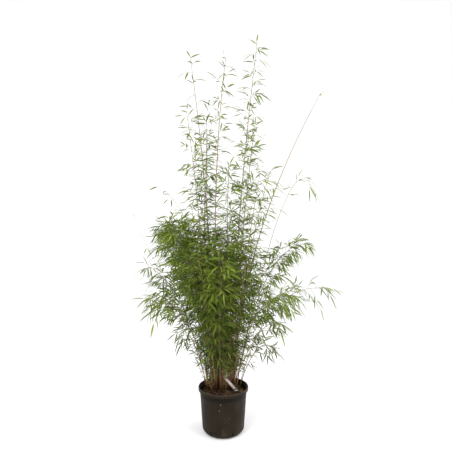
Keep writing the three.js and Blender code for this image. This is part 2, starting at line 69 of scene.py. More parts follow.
# Shader maths: a Wire is a node's output, and arithmetic on it adds Math nodes
class Wire:
    def __init__(self, finish, socket):
        self.finish = finish
        self.socket = socket

    def calc(self, operation, first, second=0.0, clamp=False):
        settings = {"operation": operation, "use_clamp": clamp}
        return self.finish.node("ShaderNodeMath", settings, {0: first, 1: second})

    def __add__(self, other):
        return self.calc("ADD", self, other)

    __radd__ = __add__

    def __mul__(self, other):
        return self.calc("MULTIPLY", self, other)

    __rmul__ = __mul__

    def __sub__(self, other):
        return self.calc("SUBTRACT", self, other)

    def __rsub__(self, other):
        return self.calc("SUBTRACT", other, self)

    def __pow__(self, other):
        return self.calc("POWER", self, other)

    def __abs__(self):
        return self.calc("ABSOLUTE", self)

    def over(self, threshold):
        return self.calc("GREATER_THAN", self, threshold)

    def clamped(self):
        return self.calc("ADD", self, 0.0, clamp=True)

    def between(self, low, high, newLow=0.0, newHigh=1.0):
        settings = {"interpolation_type": "SMOOTHSTEP"}
        values = {"Value": self, "From Min": low, "From Max": high, "To Min": newLow, "To Max": newHigh}
        return self.finish.node("ShaderNodeMapRange", settings, values)


# A material whose patterns read Object coordinates, so heights and distances are in metres
class Finish:
    def __init__(self, name, roughness, specular):
        self.material = bpy.data.materials.new(name)
        self.material.use_nodes = True
        self.tree = self.material.node_tree
        self.shader = self.tree.nodes["Principled BSDF"]
        self.shader.inputs["Roughness"].default_value = roughness
        self.shader.inputs["Specular IOR Level"].default_value = specular
        self.place = self.node("ShaderNodeTexCoord", output="Object")

    # Any node: its settings first, then its sockets' values or links
    def node(self, kind, settings=None, inputs=None, output=0):
        made = self.tree.nodes.new(kind)
        for key, value in (settings or {}).items():
            if key == "stops":
                self.setStops(made.color_ramp, value)
            else:
                setattr(made, key, value)
        for key, value in (inputs or {}).items():
            if isinstance(value, Wire):
                self.tree.links.new(value.socket, made.inputs[key])
            else:
                made.inputs[key].default_value = value
        return Wire(self, made.outputs[output])

    def setStops(self, ramp, stops):
        while len(ramp.elements) < len(stops):
            ramp.elements.new(1.0)
        for element, (position, colour) in zip(ramp.elements, stops):
            element.position = position
            element.color = (*colour, 1)

    def noise(self, scale, detail, stretch=(1, 1, 1), roughness=0.5):
        spot = self.node("ShaderNodeMapping", None, {"Vector": self.place, "Scale": stretch})
        inputs = {"Vector": spot, "Scale": scale, "Detail": detail, "Roughness": roughness}
        return self.node("ShaderNodeTexNoise", None, inputs, "Fac")

    def cells(self, scale):
        return self.node("ShaderNodeTexVoronoi", None, {"Vector": self.place, "Scale": scale}, "Distance")

    def axis(self, name):
        return self.node("ShaderNodeSeparateXYZ", None, {0: self.place}, name)

    def attribute(self, name):
        return self.node("ShaderNodeAttribute", {"attribute_name": name}, output="Fac")

    # A Mix node's colours are its inputs 6 and 7 and its output 2
    def mix(self, factor, one, other):
        settings = {"data_type": "RGBA", "clamp_factor": True}
        one, other = (colour if isinstance(colour, Wire) else (*colour, 1) for colour in (one, other))
        return self.node("ShaderNodeMix", settings, {0: factor, 6: one, 7: other}, 2)

    def ramp(self, factor, stops):
        return self.node("ShaderNodeValToRGB", {"stops": stops}, {"Fac": factor}, "Color")

    # Links what changes over the surface; relief is (height, distance, strength) of the bumps
    def surface(self, colour, relief, roughness=None):
        inputs = dict(zip(("Height", "Distance", "Strength"), relief))
        normal = self.node("ShaderNodeBump", None, inputs, "Normal")
        for name, value in (("Base Color", colour), ("Normal", normal), ("Roughness", roughness)):
            if value is not None:
                self.tree.links.new(value.socket, self.shader.inputs[name])
        return self


def asMesh(name, bm):
    mesh = bpy.data.meshes.new(name)
    bm.to_mesh(mesh)
    bm.free()
    return mesh


# Puts a finished bmesh into the scene with its finish
def asObject(name, bm, finish, smooth=True):
    for face in bm.faces:
        face.smooth = smooth
    made = bpy.data.objects.new(name, asMesh(name, bm))
    made.data.materials.append(finish.material)
    scene.collection.objects.link(made)
    return made


def addPiece(name, bm, finish, nodes=(), smooth=True):
    piece = asObject(name, bm, finish, smooth)
    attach(piece, "root")
    if nodes:
        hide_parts(*nodes)


# Point of the arch from start over knee to tip, and its direction there
def archPoint(start, knee, tip, share):
    rest = 1 - share
    return start * (rest * rest) + knee * (2 * rest * share) + tip * (share * share)


def archDirection(start, knee, tip, share):
    return ((knee - start) * (1 - share) + (tip - knee) * share).normalized()


# Direction of a line of straight steps, where it has come a share of the way
def onSteps(points, share):
    steps = len(points) - 1
    step = min(int(share * steps), steps - 1)
    return (points[step + 1] - points[step]).normalized()


# Millimetres, as the solid has them but for the slot and the corners; the culms keep clear of the label
label = {"foot": (80.5, -3, 192), "head": (0, -42, 298), "width": 13, "length": 134, "thickness": 0.9,
         "slotWidth": 9.5, "slotLength": 11, "slotFromFoot": 31.5, "corner": 2.5, "cornerSteps": 4}

# Millimetres and degrees from here to the further twigs, as the solids have them
clump = {
    "soilLevel": 200, "holeDepth": 42, "seat": 0.35, "straight": 14,
    "centre": (-12, 26), "halfSize": (84, 62), "spacing": 13, "clearance": 2.2,
    "taper": 0.65, "past": 60, "attempts": 30, "sidestep": 11, "tallFrom": 1100, "steps": (6, 4),
    "firstSeed": 1000, "seedStep": 77, "furtherSeed": 9000, "toneSeed": 5000, "toneStep": 131,
    "lowestLeaf": 288,
}

twigHabit = {
    "offset": (0.1, 0.7), "lastAt": 0.985, "turnDrift": 0.35, "lean": (34, 64), "lastLean": 0.3,
    "length": (0.55, 1.3), "sag": (0.08, 0.34), "roll": 45, "bend": 0.55,
    "fewest": 0.35, "fuller": 2.6, "crowding": (0.8, 1.2), "steep": 0.8, "fewestLeaves": 2,
}
leafHabit = {
    "length": (42, 76), "slimness": 0.125, "widthSpread": (0.9, 1.1), "firstAt": 0.3, "spread": 0.68,
    "lastAt": 0.99, "lastAngle": 9, "angle": (28, 58), "droop": (0.12, 0.6), "drop": (0.06, 0.3),
    "bend": 0.5, "far": 0.963, "lowSmaller": 0.25, "lowFrom": (300, 600), "tones": (0.3, 0.7),
}

# Root in the soil, knee and tip of the last leaf; then the cane's radius at its foot, the share of its length
# where the twigs begin, their number, the leaves on each where it is fullest, and how far the twigs reach
culmKeys = ("root", "knee", "tip", "radius", "leafyFrom", "twigs", "leaves", "reach")
tallCulms = [
    ((34, 30), (70, 45, 1150), (188, 40, 2105), 3, 0.36, 50, 5, 65),
    ((-22, 8), (-75, -45, 1250), (21, -50, 1985), 3, 0.5, 26, 4, 65),
    ((-44, 30), (-60, 30, 1146), (-184, 10, 2020), 2.8, 0.36, 28, 4, 65),
    ((40, 10), (85, -15, 980), (170, -40, 1640), 2.5, 0.36, 32, 5, 80),
    ((-62, 14), (-95, -25, 955), (-195, -50, 1710), 2.5, 0.36, 32, 5, 80),
    ((-32, 56), (-105, 60, 1000), (-86, 70, 1764), 2.5, 0.36, 32, 5, 65),
    ((-58, 44), (-130, 50, 1000), (-76, 55, 1618), 2.5, 0.36, 32, 5, 65),
    ((-48, -6), (-110, -45, 760), (-165, -80, 1210), 2.5, 0.36, 32, 6, 95),
    ((4, -10), (15, -30, 800), (29, -60, 1430), 2.5, 0.36, 32, 6, 80),
    ((56, 12), (90, -45, 800), (194, -90, 1378), 2.5, 0.62, 20, 5, 90),
    ((52, 56), (100, 80, 850), (275, 95, 1424), 2.5, 0.62, 22, 5, 95),
    ((68, 22), (330, -60, 1560), (470, -120, 1180), 1.5, 0.55, 8, 2, 45),
    ((-70, 50), (-90, 70, 1150), (-414, 75, 1305), 1.5, 0.6, 7, 2, 45),
    ((-84, 10), (-220, -25, 600), (-480, -60, 1160), 1.2, 0.8, 3, 2, 30),
]
archingCulm = ((58, 34), (88, 35, 1000), (545, 30, 1820), 3, 0.97, 1, 2, 15)
outerCulms = [
    ((70, 46), (200, 70, 950), (500, 75, 970), 2.1, 0.38, 42, 7, 85),
    ((79, 11), (230, -85, 830), (590, -150, 735), 1.7, 0.5, 13, 4, 85),
    ((26, -6), (140, -120, 760), (375, -215, 720), 2.1, 0.38, 26, 7, 85),
    ((44, -4), (185, -75, 640), (330, -120, 530), 2.1, 0.38, 10, 7, 85),
    ((84, 29), (180, -20, 530), (300, -60, 384), 2.1, 0.3, 8, 4, 85),
    ((-90, 24), (-190, 0, 760), (-440, -40, 880), 2.1, 0.42, 26, 7, 85),
    ((-66, -10), (-180, -85, 740), (-420, -140, 685), 2.1, 0.38, 26, 7, 85),
    ((-82, -4), (-160, -40, 560), (-260, -60, 490), 2.1, 0.38, 9, 7, 70),
    ((-84, 42), (-150, 70, 880), (-375, 85, 1120), 2.1, 0.38, 44, 9, 100),
    ((-30, -16), (-130, -70, 840), (-290, -105, 1150), 2.1, 0.38, 48, 9, 110),
]
middle = {
    "count": 22, "seed": 5, "attempts": 7, "wander": 0.08, "shareSpread": (0.85, 1.05),
    "reach": (30, 200), "reachSpread": 30, "deeper": 0.95,
    "tipHeight": (1150, 860), "heightSpread": 60, "lowerRight": 0.3, "kneeShare": 0.3, "kneeRise": 0.66,
    "habit": {"radius": 2.2, "leafyFrom": 0.17, "twigs": 50, "leaves": 8, "reach": 110, "leafSize": 0.9},
}


# Where a culm stands in the oval patch, by its share of the way out and its turn
def rootAt(share, turn):
    centreX, centreY = clump["centre"]
    halfX, halfY = clump["halfSize"]
    return (centreX + halfX * share * math.cos(turn), centreY + halfY * share * math.sin(turn))


# One draw of the i-th culm of the middle mass; those further out are lower and lean out further
def middleCulm(i, trial, draw):
    wander = middle["wander"] * (1 + trial)
    share = math.sqrt((i + 0.5) / middle["count"]) * draw(*middle["shareSpread"])
    turn = i * goldenAngle + draw(-wander, wander)
    root = rootAt(share, turn)
    innerReach, outerReach = middle["reach"]
    innerHeight, outerHeight = middle["tipHeight"]
    reachSpread, heightSpread = middle["reachSpread"], middle["heightSpread"]
    reach = innerReach + (outerReach - innerReach) * share + draw(-reachSpread, reachSpread)
    height = innerHeight + (outerHeight - innerHeight) * share + draw(-heightSpread, heightSpread)
    out = (reach * math.cos(turn), reach * middle["deeper"] * math.sin(turn))
    height -= middle["lowerRight"] * out[0]
    knee = (root[0] + out[0] * middle["kneeShare"], root[1] + out[1] * middle["kneeShare"],
            height * middle["kneeRise"])
    tip = (root[0] + out[0], root[1] + out[1], height)
    return {**middle["habit"], "root": root, "knee": knee, "tip": tip}


# Least distance between two straight segments, in plain numbers so that it agrees with the solids
def segmentGap(start, end, otherStart, otherEnd):
    run = [to - at for at, to in zip(start, end)]
    otherRun = [to - at for at, to in zip(otherStart, otherEnd)]
    apart = [one - two for one, two in zip(start, otherStart)]
    length, otherLength, shared = dot(run, run), dot(otherRun, otherRun), dot(run, otherRun)
    ahead, otherAhead = dot(run, apart), dot(otherRun, apart)
    spread = length * otherLength - shared * shared
    share = unit((shared * otherAhead - ahead * otherLength) / spread) if spread else 0.0
    otherShare = (shared * share + otherAhead) / otherLength
    if otherShare < 0:
        share, otherShare = unit(-ahead / length), 0.0
    elif otherShare > 1:
        share, otherShare = unit((shared - ahead) / length), 1.0
    nearest = [at + step * share for at, step in zip(start, run)]
    return math.dist(nearest, [at + step * otherShare for at, step in zip(otherStart, otherRun)])


def dot(one, other):
    return sum(x * y for x, y in zip(one, other))


def unit(value):
    return min(1.0, max(0.0, value))


# A culm's middle line has more steps where it is tall
def stepsOf(culm):
    tallSteps, lowSteps = clump["steps"]
    return tallSteps if culm["tip"][2] > clump["tallFrom"] else lowSteps


def culmSteps(culm):
    start = (*culm["root"], clump["soilLevel"] + clump["straight"])
    foot = (*culm["root"], clump["soilLevel"] - clump["holeDepth"] + clump["seat"])
    steps = stepsOf(culm)
    points = [foot]
    for i in range(steps + 1):
        share = i / steps
        weights = ((1 - share) ** 2, 2 * (1 - share) * share, share * share)
        points.append(tuple(dot(weights, axis) for axis in zip(start, culm["knee"], culm["tip"])))
    return points


# Moves a culm's knee sideways until the culm is clear of those already in place, as the solids do
def bentClear(culm, inPlace, attempts):
    acrossX, acrossY = culm["root"][1] - culm["tip"][1], culm["tip"][0] - culm["root"][0]
    length = math.hypot(acrossX, acrossY)
    for attempt in range(attempts):
        shift = math.ceil(attempt / 2) * clump["sidestep"] * (1 if attempt % 2 else -1)
        x, y, z = culm["knee"]
        moved = {**culm, "knee": (x + acrossX / length * shift, y + acrossY / length * shift, z)}
        points = culmSteps(moved)
        lines = list(zip(points, points[1:]))
        if all(segmentGap(*line, *other) > culm["radius"] + radius + clump["clearance"]
               for line in lines for other, radius in inPlace):
            inPlace.extend((line, culm["radius"]) for line in lines)
            return moved
    return None


def shortened(culm):
    gap = [a - b for a, b in zip(culm["tip"], culm["knee"])]
    scale = clump["past"] / math.sqrt(dot(gap, gap))
    return {**culm, "tip": tuple(a - g * scale for a, g in zip(culm["tip"], gap))}


def named(rows, prefix):
    return [{**dict(zip(culmKeys, row)), "name": f"{prefix}_{i + 1:02d}"} for i, row in enumerate(rows)]


def allCulms():
    traced = named(tallCulms, "tall_culm")
    traced.append({**dict(zip(culmKeys, archingCulm)), "name": "bare_arching_culm"})
    traced += named(outerCulms, "outer_culm")
    inPlace = [((label["foot"], label["head"]), label["width"] / 2)]
    grown = [bentClear(shortened(culm), inPlace, clump["attempts"]) for culm in traced]
    draw = Drawer(middle["seed"])
    for i in range(middle["count"]):
        bent = None
        trial = 0
        while bent is None:
            culm = middleCulm(i, trial, draw)
            trial += 1
            if all(math.dist(culm["root"], other["root"]) >= clump["spacing"] for other in grown):
                bent = bentClear(culm, inPlace, middle["attempts"])
        grown.append({**bent, "name": f"middle_culm_{i + 1:02d}"})
    return grown


# The plane in which a twig bears its leaves: level across the twig, then rolled about it
def leafPlane(along, roll):
    level = along.cross(up).normalized()
    above = Matrix.Rotation(roll, 3, along) @ level.cross(along)
    return above, above.cross(along)


# Twigs are longest, and bear most leaves, half-way up the leafy part
def fullness(share, leafyFrom):
    rise = (share - leafyFrom) / (1 - leafyFrom)
    return twigHabit["fewest"] + twigHabit["fuller"] * rise * (1 - rise)


# All the twigs of a culm, each with its leaves in two ranks and one at its end
def twigsOf(culm, seed):
    draw = Drawer(seed)
    start, knee, tip = culm["arch"]
    steps = stepsOf(culm)
    corners = [archPoint(start, knee, tip, i / steps) for i in range(steps + 1)]
    firstTurn = draw(0, 2 * math.pi)
    count, leafyFrom, upTo = culm["twigs"], culm["leafyFrom"], culm.get("upTo", 1)
    twigs = []
    for k in range(count):
        isLast = k == count - 1 and upTo == 1
        share = leafyFrom + (upTo - leafyFrom) * (k + draw(*twigHabit["offset"])) / count
        share = twigHabit["lastAt"] if isLast else share
        along = onSteps(corners, share)
        turn = firstTurn + k * goldenAngle + draw(-twigHabit["turnDrift"], twigHabit["turnDrift"])
        lean = math.radians(draw(*twigHabit["lean"])) * (twigHabit["lastLean"] if isLast else 1)
        full = fullness(share, leafyFrom)
        length = culm["reach"] * draw(*twigHabit["length"]) * full * mm
        sag = length * draw(*twigHabit["sag"])
        widest = culm.get("roll", twigHabit["roll"])
        roll = math.radians(draw(-widest, widest))
        aside = Vector((1, 0, 0)) if abs(along.z) >= twigHabit["steep"] else up
        sideOne = along.cross(aside).normalized()
        sideTwo = along.cross(sideOne)
        side = sideOne * math.cos(turn) + sideTwo * math.sin(turn)
        heading = along * math.cos(lean) + side * math.sin(lean)
        at = archPoint(start, knee, tip, share)
        curve = (at, at + heading * length * twigHabit["bend"], at + heading * length - up * sag)
        leafCount = math.floor(culm["leaves"] * full * draw(*twigHabit["crowding"]) + 0.5)
        leafCount = max(twigHabit["fewestLeaves"], leafCount)
        droop, size = culm.get("droop", leafHabit["droop"]), culm.get("leafSize", 1)
        leaves = [leafOn(curve, roll, j, leafCount, draw, size, droop) for j in range(leafCount)]
        twigs.append({"curve": curve, "leaves": leaves})
    return twigs


# How far down among the stems a height lies: 1 at the soil, 0 in the open
def lowness(height):
    low, high = (limit * mm for limit in leafHabit["lowFrom"])
    return unit((high - height) / (high - low))


def leafOn(twig, roll, j, count, draw, size, sink):
    isLast = j == count - 1
    share = leafHabit["lastAt"] if isLast else leafHabit["firstAt"] + leafHabit["spread"] * (j + 0.5) / count
    along = onSteps([archPoint(*twig, i / 2) for i in range(3)], share)
    above, side = leafPlane(along, roll)
    lastAngle = leafHabit["lastAngle"]
    angle = draw(-lastAngle, lastAngle) if isLast else draw(*leafHabit["angle"]) * (1 if j % 2 else -1)
    droop = draw(*sink)
    length = draw(*leafHabit["length"]) * size * mm * (1 - leafHabit["lowSmaller"] * lowness(twig[0].z))
    width = length * leafHabit["slimness"] * draw(*leafHabit["widthSpread"])
    drop = length * draw(*leafHabit["drop"])
    angle = math.radians(angle)
    heading = (along * math.cos(angle) + side * math.sin(angle) - up * droop).normalized()
    at = archPoint(*twig, share)
    across = above.cross(heading).normalized()
    end = at + heading * length * leafHabit["far"] - up * drop
    return {"curve": (at, at + heading * length * leafHabit["bend"], end), "across": across, "width": width}


# Small twigs which the solids leave out, by the start of the culm's name; they fill the clump's inside
furtherKeys = ("twigs", "leafyFrom", "upTo", "leaves", "reach", "leafSize")
furtherTwigs = {
    "tall_culm_01": (27, 0.42, 0.84, 4, 55, 0.8),
    "tall_culm_02": (13, 0.5, 0.86, 4, 42, 0.75),
    "tall_culm_03": (13, 0.4, 0.8, 4, 50, 0.75),
    "tall_culm_04": (24, 0.5, 0.95, 4, 65, 0.85),
    "tall_culm_05": (24, 0.45, 0.92, 4, 58, 0.8),
    "tall_culm_06": (16, 0.42, 0.72, 4, 50, 0.75),
    "tall_culm_07": (16, 0.42, 0.75, 4, 55, 0.75),
    "tall_culm_08": (42, 0.4, 0.82, 6, 85, 0.85),
    "tall_culm_09": (40, 0.45, 1.0, 6, 80, 0.85),
    "tall_culm_10": (9, 0.5, 0.85, 5, 70, 0.85),
    "tall_culm_11": (7, 0.42, 0.62, 5, 80, 0.85),
    "outer_culm_01": (24, 0.35, 0.7, 6, 80, 0.85),
    "outer_culm_02": (12, 0.4, 0.7, 6, 80, 0.85),
    "outer_culm_03": (18, 0.18, 0.7, 5, 65, 0.8),
    "outer_culm_04": (6, 0.25, 0.8, 5, 60, 0.8),
    "outer_culm_05": (12, 0.25, 0.85, 5, 50, 0.8),
    "outer_culm_06": (16, 0.35, 0.75, 6, 80, 0.85),
    "outer_culm_07": (18, 0.35, 0.75, 6, 80, 0.85),
    "outer_culm_08": (12, 0.2, 0.6, 4, 60, 0.8),
    "outer_culm_09": (64, 0.4, 0.92, 8, 95, 0.85),
    "outer_culm_10": (64, 0.4, 0.92, 8, 100, 0.85),
    "middle_culm": (20, 0.12, 0.9, 5, 75, 0.7),
}

# The further twigs' leaves point more ways than the others
freer = {"roll": 85, "droop": (-0.35, 0.5)}


def furtherOn(culm):
    rows = (row for start, row in furtherTwigs.items() if culm["name"].startswith(start))
    return {**freer, **dict(zip(furtherKeys, next(rows, ())))}


print("culms grown by the rule")
culms = allCulms()
for i, culm in enumerate(culms):
    start = Vector((*culm["root"], clump["soilLevel"] + clump["straight"])) * mm
    culm["arch"] = (start, Vector(culm["knee"]) * mm, Vector(culm["tip"]) * mm)
    culm["grown"] = twigsOf(culm, clump["firstSeed"] + clump["seedStep"] * i)
    further = furtherOn(culm)
    if "twigs" in further:
        culm["grown"] += twigsOf({**culm, **further}, clump["furtherSeed"] + i)


# A closed blade with a pressed midrib, made once and laid along each leaf's own curve; its rings lie at
# shares of the leaf's length and their widths are shares of its width, and the thickness is in metres
leafShape = {"rings": (0.0, 0.07, 0.22, 0.44, 0.7, 0.9, 1.0),
             "widths": (0.0, 0.34, 0.84, 1.0, 0.72, 0.3, 0.0),
             "fold": 0.16, "thickness": 0.0003}


def makeLeaf():
    bm = bmesh.new()
    rings = len(leafShape["rings"]) - 1
    bmesh.ops.create_uvsphere(bm, u_segments=4, v_segments=rings, radius=1)
    alongLayer = bm.verts.layers.float.new("leafAlong")
    acrossLayer = bm.verts.layers.float.new("leafAcross")
    faceLayer = bm.verts.layers.float.new("leafFace")
    bm.verts.layers.float.new("leafTone")
    for vert in bm.verts:
        ring = round((1 - math.acos(max(-1, min(1, vert.co.z))) / math.pi) * rings)
        flat = math.hypot(vert.co.x, vert.co.y)
        across = round(vert.co.x / flat) if flat > 1e-6 else 0
        above = round(vert.co.y / flat) if flat > 1e-6 else 0
        vert[alongLayer] = leafShape["rings"][ring]
        vert[acrossLayer] = across
        vert[faceLayer] = 0.5 + 0.5 * above
        width = leafShape["widths"][ring]
        vert.co = (across * width / 2, above, vert[alongLayer])
    sharpenRims(bm)
    bmesh.ops.recalc_face_normals(bm, faces=bm.faces)
    return asMesh("leafTemplate", bm)


# Keeps the upper and the lower face of the blades apart in the shading
def sharpenRims(bm):
    across = bm.verts.layers.float["leafAcross"]
    for edge in bm.edges:
        edge.smooth = not all(abs(vert[across]) > 0.5 for vert in edge.verts)


# Lays the template from its root to its tip along a leaf's curve
def addLeaf(bm, template, leaf, tone):
    toneLayer = bm.verts.layers.float["leafTone"]
    across, width = leaf["across"], leaf["width"]
    for vert in addCopy(bm, template):
        x, above, share = vert.co
        normal = archDirection(*leaf["curve"], share).cross(across).normalized()
        lift = abs(x) * 2 * leafShape["fold"] * width + above * leafShape["thickness"] / 2
        vert.co = archPoint(*leaf["curve"], share) + across * x * width + normal * lift
        vert[toneLayer] = tone


def insideBox(points):
    return all(low <= value <= high
               for point in points for value, low, high in zip(point, cadLow, cadHigh))


# A tapered tube, grown ring by ring from a circle. Each station is (point, direction, radius, marks)
def tubeMesh(stations, sides, markNames=()):
    bm = bmesh.new()
    layers = [bm.verts.layers.float.new(name) for name in markNames]
    ring = bmesh.ops.create_circle(bm, segments=sides, radius=1)["verts"]
    firstRing = list(ring)
    across = stations[0][1].orthogonal().normalized()
    for i, (point, direction, radius, marks) in enumerate(stations):
        if i:
            grown = set(bmesh.ops.extrude_edge_only(bm, edges=ringEdges(ring))["geom"])
            ring = [next(edge.other_vert(vert) for edge in vert.link_edges if edge.other_vert(vert) in grown)
                    for vert in ring]
        across = (across - direction * across.dot(direction)).normalized()
        above = direction.cross(across)
        for j, vert in enumerate(ring):
            angle = 2 * math.pi * j / sides
            vert.co = point + (across * math.cos(angle) + above * math.sin(angle)) * radius
            for layer, value in zip(layers, marks):
                vert[layer] = value
    bmesh.ops.contextual_create(bm, geom=ringEdges(firstRing))
    bmesh.ops.contextual_create(bm, geom=ringEdges(ring))
    bmesh.ops.recalc_face_normals(bm, faces=bm.faces)
    return asMesh("tube", bm)


def addTube(bm, stations, sides, markNames=()):
    tube = tubeMesh(stations, sides, markNames)
    bm.from_mesh(tube)
    bpy.data.meshes.remove(tube)


def extrudedVerts(result):
    return [part for part in result["geom"] if isinstance(part, bmesh.types.BMVert)]


# Copies a mesh into a bmesh and gives back the copy's vertices
def addCopy(bm, mesh):
    first = len(bm.verts)
    bm.from_mesh(mesh)
    bm.verts.ensure_lookup_table()
    return bm.verts[first:]


def ringEdges(ring):
    pairs = zip(ring, ring[1:] + ring[:1])
    return [next(edge for edge in one.link_edges if edge.other_vert(one) == other) for one, other in pairs]


# Metres. node: how far each ring of a scar stands from the node's middle, in scars, its swelling and its mark
cane = {"sides": 8, "internode": 0.105, "spread": 0.3, "atFoot": 1.15, "shorter": 0.5, "measured": 40,
        "scar": 0.0016, "firstNode": (0.02, 0.07), "lastNode": 3,
        "node": ((-2.2, 1, 0), (-0.6, 1.1, 0.7), (0.4, 1.16, 1), (2.4, 1, 0)),
        "twigSides": 5, "twigRadius": 0.00075, "twigTip": 0.0004, "twigSteps": 5, "buried": 0.02}


# Stations of a culm from under the soil to its tip, with a raised scar at every node
def caneStations(culm, draw):
    arch = culm["arch"]
    pieces = cane["measured"]
    points = [archPoint(*arch, i / pieces) for i in range(pieces + 1)]
    length = sum((two - one).length for one, two in zip(points, points[1:]))
    radius = culm["radius"] * mm

    def station(share, swell, mark, tone):
        size = radius * (1 - clump["taper"] * share * share) * swell
        return archPoint(*arch, share), archDirection(*arch, share), size, (mark, tone, 0)

    tone = draw(0, 1)
    stations = [(arch[0] - up * cane["buried"], up, radius, (0, tone, 0))]
    at = draw(*cane["firstNode"])
    while at < length - cane["lastNode"] * cane["scar"]:
        for offset, swell, mark in cane["node"]:
            tone = draw(0, 1) if offset > 1 else tone
            stations.append(station(unit((at + offset * cane["scar"]) / length), swell, mark, tone))
        shorter = cane["atFoot"] - cane["shorter"] * at / length
        step = cane["internode"] * (1 + draw(-1, 1) * cane["spread"]) * shorter
        if at + step < length:
            stations.append(station((at + step / 2) / length, 1, 0, tone))
        at += step
    return stations + [station(1, 1, 0, tone)]


caneMarks = ("caneNode", "caneTone", "caneTwig")


# A straight twig of unit length and radius along Z, to be bent to each twig's own curve
def twigTemplate():
    steps = cane["twigSteps"]
    shares = [i / steps for i in range(steps + 1)]
    narrowing = cane["twigTip"] / cane["twigRadius"] - 1
    stations = [(up * share, up, 1 + narrowing * share, (0, 0, 1)) for share in shares]
    return tubeMesh(stations, cane["twigSides"], caneMarks)


def addTwig(bm, template, curve, tone):
    toneLayer = bm.verts.layers.float["caneTone"]
    across = (curve[1] - curve[0]).cross(curve[2] - curve[0]).normalized()
    for vert in addCopy(bm, template):
        x, y, share = vert.co
        above = archDirection(*curve, share).cross(across)
        vert.co = archPoint(*curve, share) + (across * x + above * y) * cane["twigRadius"]
        vert[toneLayer] = tone


# An empty bmesh with the attributes of a mesh
def emptyLike(mesh):
    bm = bmesh.new()
    bm.from_mesh(mesh)
    bmesh.ops.delete(bm, geom=bm.verts[:], context="VERTS")
    return bm


# Two pieces for the culms given: their canes with the twigs, and their leaves
def addCulms(name, members, seed, nodes):
    draw = Drawer(clump["toneSeed"] + seed * clump["toneStep"])
    woody, leafy = emptyLike(twigShape), emptyLike(leafTemplate)
    culmPart, ownPart = leafHabit["tones"]
    for culm in members:
        addTube(woody, caneStations(culm, draw), cane["sides"], caneMarks)
        culmTone = draw(0, 1)
        for twig in culm["grown"]:
            if not insideBox(twig["curve"]):
                continue
            addTwig(woody, twigShape, twig["curve"], draw(0, 1))
            for leaf in twig["leaves"]:
                tone = unit(culmPart * culmTone + ownPart * draw(0, 1))
                if insideBox(leaf["curve"]) and leaf["curve"][2].z > clump["lowestLeaf"] * mm:
                    addLeaf(leafy, leafTemplate, leaf, tone)
    sharpenRims(leafy)
    addPiece(name + "_cane", woody, caneLook, nodes)
    if leafy.verts:
        addPiece(name + "_leaves", leafy, leafLook, nodes)


caneColours = {
    "stem": [(0.0, (0.12, 0.065, 0.03)), (0.3, (0.26, 0.15, 0.07)), (0.55, (0.36, 0.23, 0.115)),
             (0.8, (0.22, 0.18, 0.05)), (1.0, (0.12, 0.14, 0.03))],
    "low": [(0.0, (0.045, 0.014, 0.008)), (0.35, (0.12, 0.038, 0.016)), (0.6, (0.2, 0.085, 0.035)),
            (0.82, (0.36, 0.22, 0.1)), (1.0, (0.09, 0.07, 0.02))],
    "twig": [(0.0, (0.2, 0.16, 0.05)), (0.6, (0.16, 0.22, 0.05)), (1.0, (0.3, 0.2, 0.1))],
    "foot": (0.03, 0.011, 0.006), "scar": (0.09, 0.05, 0.025),
}


def caneFinish():
    finish = Finish("bambooCane", 0.45, 0.4)
    tone = finish.attribute("caneTone")
    node = finish.attribute("caneNode")
    twig = finish.attribute("caneTwig")
    height = finish.axis("Z")
    streaks = finish.noise(60, 4, (9, 9, 0.5))
    colour = finish.ramp(tone * 0.8 + streaks * 0.4 - 0.1, caneColours["stem"])
    low = 1 - height.between(0.22, 0.5)
    colour = finish.mix(low * 0.85, colour, finish.ramp(tone, caneColours["low"]))
    foot = (1 - height.between(0.205, 0.27)) * (1 - tone.between(0.7, 0.85)) * 0.6
    colour = finish.mix(foot, colour, caneColours["foot"])
    colour = finish.mix(twig, colour, finish.ramp(tone, caneColours["twig"]))
    colour = finish.mix(node.between(0.5, 1.0, 0, 0.75), colour, caneColours["scar"])
    return finish.surface(colour, (streaks, 0.0003, 0.5), streaks * 0.2 + 0.36)


leafColours = {
    "blade": [(0.0, (0.036, 0.062, 0.006)), (0.3, (0.084, 0.13, 0.01)), (0.6, (0.15, 0.212, 0.017)),
              (0.85, (0.2, 0.268, 0.026)), (1.0, (0.28, 0.31, 0.045))],
    "midrib": (0.27, 0.34, 0.07), "underside": (0.17, 0.24, 0.07), "dryTip": (0.42, 0.33, 0.12),
    "shaded": (0.045, 0.065, 0.008),
}


def leafFinish():
    finish = Finish("bambooLeaf", 0.5, 0.2)
    tone = finish.attribute("leafTone")
    along = finish.attribute("leafAlong")
    across = finish.attribute("leafAcross")
    face = finish.attribute("leafFace")
    mottle = finish.noise(35, 2)
    colour = finish.ramp(tone * 0.85 + mottle * 0.3 - 0.08, leafColours["blade"])
    midrib = 1 - abs(across).between(0.03, 0.2)
    colour = finish.mix(midrib * 0.4, colour, leafColours["midrib"])
    colour = finish.mix((1 - face) * 0.3, colour, leafColours["underside"])
    dryTip = along.between(0.86, 1.0) * tone.over(0.8) * 0.8
    colour = finish.mix(dryTip, colour, leafColours["dryTip"])
    shaded = (1 - finish.axis("Z").between(0.34, 0.8)) * tone.between(0.4, 0.75, 0.78, 0.1)
    colour = finish.mix(shaded, colour, leafColours["shaded"])
    veins = finish.noise(500, 2)
    return finish.surface(colour, (veins, 0.00015, 0.4), mottle * 0.25 + 0.38)


